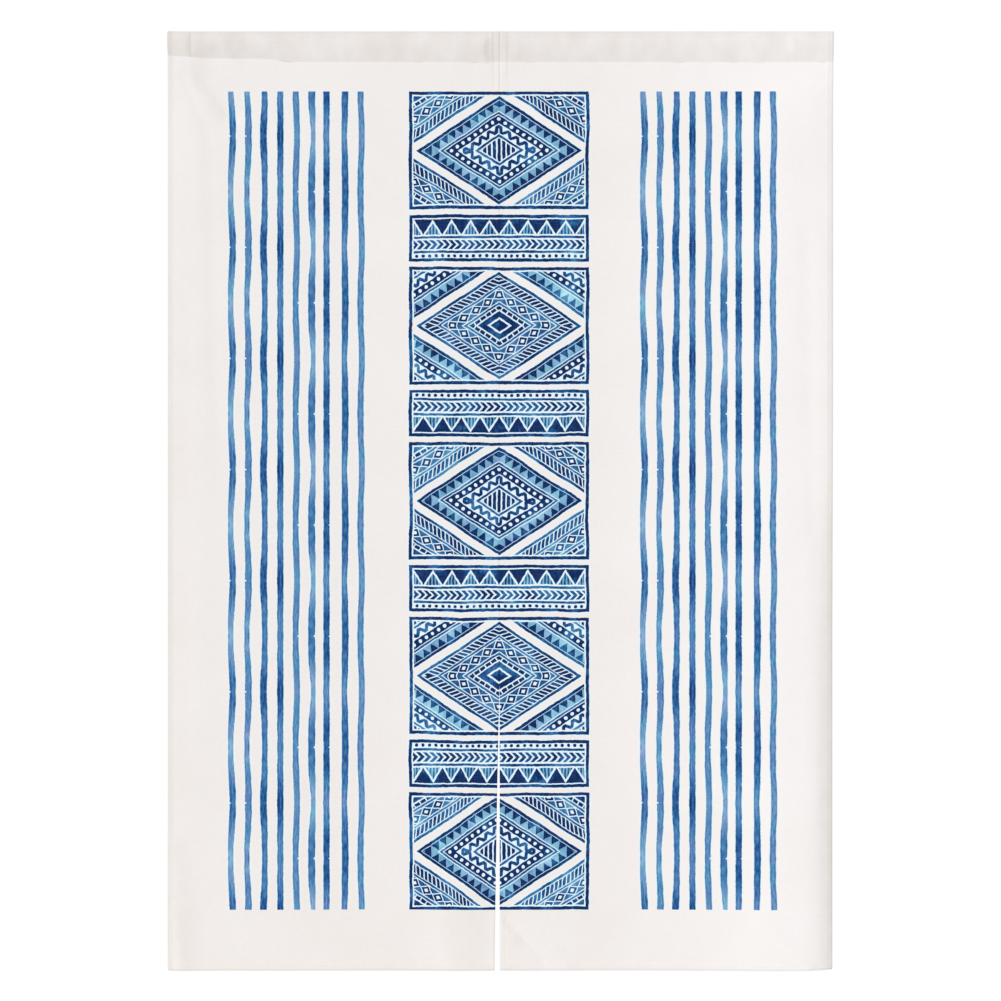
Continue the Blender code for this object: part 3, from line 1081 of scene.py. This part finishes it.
def stitchTree():
    # Short stitches along runs of edges, turned to the way each run faces
    tree = bpy.data.node_groups.new("threadRuns", "GeometryNodeTree")
    tree.interface.new_socket("Geometry", in_out="INPUT", socket_type="NodeSocketGeometry")
    kinds = dict.fromkeys(("Pitch", "Length", "Thickness", "Slant", "Unevenness"), "Float")
    for name, kind in {**kinds, "Seed": "Int", "Thread": "Material"}.items():
        tree.interface.new_socket(name, in_out="INPUT", socket_type="NodeSocket" + kind)
    tree.interface.new_socket("Geometry", in_out="OUTPUT", socket_type="NodeSocketGeometry")

    def node(kind, inputs, **settings):
        made = tree.nodes.new(kind)
        for name, value in settings.items():
            setattr(made, name, value)
        for name, value in inputs.items():
            if isinstance(value, bpy.types.NodeSocket):
                tree.links.new(value, made.inputs[name])
            else:
                made.inputs[name].default_value = value
        return made.outputs

    given = node("NodeGroupInput", {})
    curves = node("GeometryNodeMeshToCurve", {0: given["Geometry"]})[0]
    spaced = node("GeometryNodeResampleCurve", {"Curve": curves, "Length": given["Pitch"]}, mode="LENGTH")[0]
    tangent = node("GeometryNodeInputTangent", {})[0]
    facing = node("GeometryNodeInputNamedAttribute", {"Name": "facing"}, data_type="FLOAT_VECTOR")[0]
    align = "FunctionNodeAlignRotationToVector"
    turned = node(align, {"Vector": tangent}, axis="X")[0]
    turned = node(align, {"Rotation": turned, "Vector": facing}, axis="Z", pivot_axis="X")[0]
    least = node("ShaderNodeMath", {0: 1.0, 1: given["Unevenness"]}, operation="SUBTRACT")[0]
    most = node("ShaderNodeMath", {0: 1.0, 1: given["Unevenness"]}, operation="ADD")[0]
    size = node("FunctionNodeRandomValue", {2: least, 3: most, "Seed": given["Seed"]}, data_type="FLOAT")[1]
    slant = node("ShaderNodeMath", {0: size, 1: given["Slant"]}, operation="MULTIPLY")[0]
    lean = node("FunctionNodeAxisAngleToRotation", {"Axis": (0.0, 0.0, 1.0), "Angle": slant})[0]
    rotation = node("FunctionNodeRotateRotation", {0: turned, 1: lean}, rotation_space="LOCAL")[0]
    long = node("ShaderNodeMath", {0: given["Length"], 1: size}, operation="MULTIPLY")[0]
    scale = node("ShaderNodeCombineXYZ", {0: long, 1: given["Thickness"], 2: given["Thickness"]})[0]
    stitch = node("GeometryNodeMeshUVSphere", {"Segments": 6, "Rings": 4, "Radius": 0.5})[0]
    stitch = node("GeometryNodeSetShadeSmooth", {0: stitch})[0]
    laying = {"Points": spaced, "Instance": stitch, "Rotation": rotation, "Scale": scale}
    laid = node("GeometryNodeInstanceOnPoints", laying)[0]
    whole = node("GeometryNodeRealizeInstances", {0: laid})[0]
    coloured = node("GeometryNodeSetMaterial", {0: whole, "Material": given["Thread"]})[0]
    node("NodeGroupOutput", {0: coloured})
    return tree


def stitchPiece(name, runs, tree, sizes, seed, material):
    # One mesh of all the stitches along the given runs
    points = np.concatenate([run[0] for run in runs])
    ways = np.concatenate([run[1] for run in runs])
    edges = []
    start = 0
    for run, _ in runs:
        edges += [(start + k, start + k + 1) for k in range(len(run) - 1)]
        start += len(run)
    mesh = bpy.data.meshes.new(name)
    mesh.from_pydata(points.tolist(), edges, [])
    facing = mesh.attributes.new("facing", "FLOAT_VECTOR", "POINT")
    facing.data.foreach_set("vector", ways.ravel())
    piece = placed(name, mesh)
    needle = piece.modifiers.new("needle", "NODES")
    needle.node_group = tree
    values = {**sizes, "Seed": seed, "Thread": material}
    for socket in tree.interface.items_tree:
        if socket.in_out == "INPUT" and socket.name in values:
            needle[socket.identifier] = values[socket.name]
    return keptMesh(piece)


def seamPieces(tree, material):
    # Joining stitches down the back of the centre seam, and a tack where the slit starts
    tackTop = drape["slitTop"] - thread["tackLength"]
    spans = {
        "joinStitches": ("join", curtain["stitchLine"] + thread["joinBelow"], tackTop),
        "slitTack": ("tack", tackTop, drape["slitTop"]),
    }
    pieces = []
    for seed, (name, (sort, top, low)) in enumerate(spans.items()):
        depth = np.linspace(top, low, thread["runPoints"])
        x = np.full_like(depth, curtain["seam"])
        y = smooth((depth - curtain["stitchLine"]) / drape["foldFade"])
        y = y * (curlBack(x, depth) - ridges(x, depth, drape["folds"])) - cloth["frontOffset"]
        run = np.stack([x, y + thread["joinBack"], -depth], axis=1)
        facing = np.tile((0.0, 1.0, 0.0), (len(depth), 1))
        seed += thread["firstSeed"]
        pieces.append(stitchPiece(name, [(run, facing)], tree, thread[sort], seed, material))
    return pieces


clothFace = clothMaterial("clothFace", 1.0)
clothReverse = clothMaterial("clothReverse", finish["reversePrint"])
threadFinish = threadMaterial()
sewing = stitchTree()
print("materials made")

for number, side in enumerate(("Left", "Right")):
    grid, flats, flatSize, runs = panelGrid(side)
    panel = clothPiece("cloth" + side, grid, flats, clothFace, clothReverse)
    addBakeMap(panel, flatSize)
    stitches = stitchPiece("stitches" + side, runs, sewing, thread["hem"], number, threadFinish)
    for piece, slot in ((panel, "printed_cotton"), (stitches, "sewing_thread")):
        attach(piece, "root")
    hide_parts("panel_" + side.lower(), "pocket_" + side.lower())
    counts = [len(piece.data.polygons) for piece in (panel, stitches)]
    print("panel", side, "flat size", flatSize, "faces", counts)

for piece in seamPieces(sewing, threadFinish):
    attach(piece, "root")
print("seam sewn")

# The studio: white air, soft light from the upper left and from behind, a pale floor below
studio = {
    "cameraY": -3.02,
    "cameraZ": -0.5995,
    "lens": 85.0,
    "sensor": 36.0,
    "ambient": 0.64,
    "ambientColour": (1.0, 0.995, 0.985, 1.0),
    "backdrop": (1.0, 1.0, 1.0, 1.0),
    # lights: where from, strength, apparent size in degrees
    "lights": {
        "key": ((-0.50, -0.78, 0.42), 1.45, 24.0),
        "rim": ((0.55, 0.75, 0.40), 1.05, 30.0),
    },
    "floorZ": -1.95,
    "floorRadius": 2.4,
    "floorSides": 96,
    "floorColour": (0.86, 0.85, 0.83, 1.0),
}


def buildStudio():
    scene = bpy.context.scene
    camera = placed("camera", bpy.data.cameras.new("camera"))
    camera.data.lens = studio["lens"]
    camera.data.sensor_width = studio["sensor"]
    camera.location = (0.0, studio["cameraY"], studio["cameraZ"])
    camera.rotation_euler = (math.radians(90.0), 0.0, 0.0)
    scene.camera = camera
    scene.view_settings.view_transform = "Standard"
    for name, (comesFrom, strength, spread) in studio["lights"].items():
        light = placed(name, bpy.data.lights.new(name, "SUN"))
        light.data.energy = strength
        light.data.angle = math.radians(spread)
        light.rotation_euler = Vector(comesFrom).to_track_quat("Z", "Y").to_euler()

    world = bpy.data.worlds.new("air")
    scene.world = world
    world.use_nodes = True
    world.node_tree.nodes.clear()
    air = Wire(world.node_tree)
    seen = air.node("ShaderNodeLightPath", {}, {})
    behind = {"Color": studio["backdrop"], "Strength": 1.0}
    ambient = {"Color": studio["ambientColour"], "Strength": studio["ambient"]}
    white = air.node("ShaderNodeBackground", {}, behind)
    lit = air.node("ShaderNodeBackground", {}, ambient)
    mixed = air.node("ShaderNodeMixShader", {}, {0: seen, 1: lit, 2: white})
    air.node("ShaderNodeOutputWorld", {}, {"Surface": mixed})


def buildFloor():
    radius, count = studio["floorRadius"], studio["floorSides"]
    angles = [2.0 * math.pi * k / count for k in range(count)]
    rim = [(radius * math.cos(angle), radius * math.sin(angle), studio["floorZ"]) for angle in angles]
    mesh = bpy.data.meshes.new("floor")
    mesh.from_pydata(rim, [], [list(range(count))])
    material = bpy.data.materials.new("floorPaint")
    material.use_nodes = True
    material.node_tree.nodes["Principled BSDF"].inputs["Base Color"].default_value = studio["floorColour"]
    mesh.materials.append(material)
    placed("floor", mesh)


buildStudio()
buildFloor()
print("studio ready")
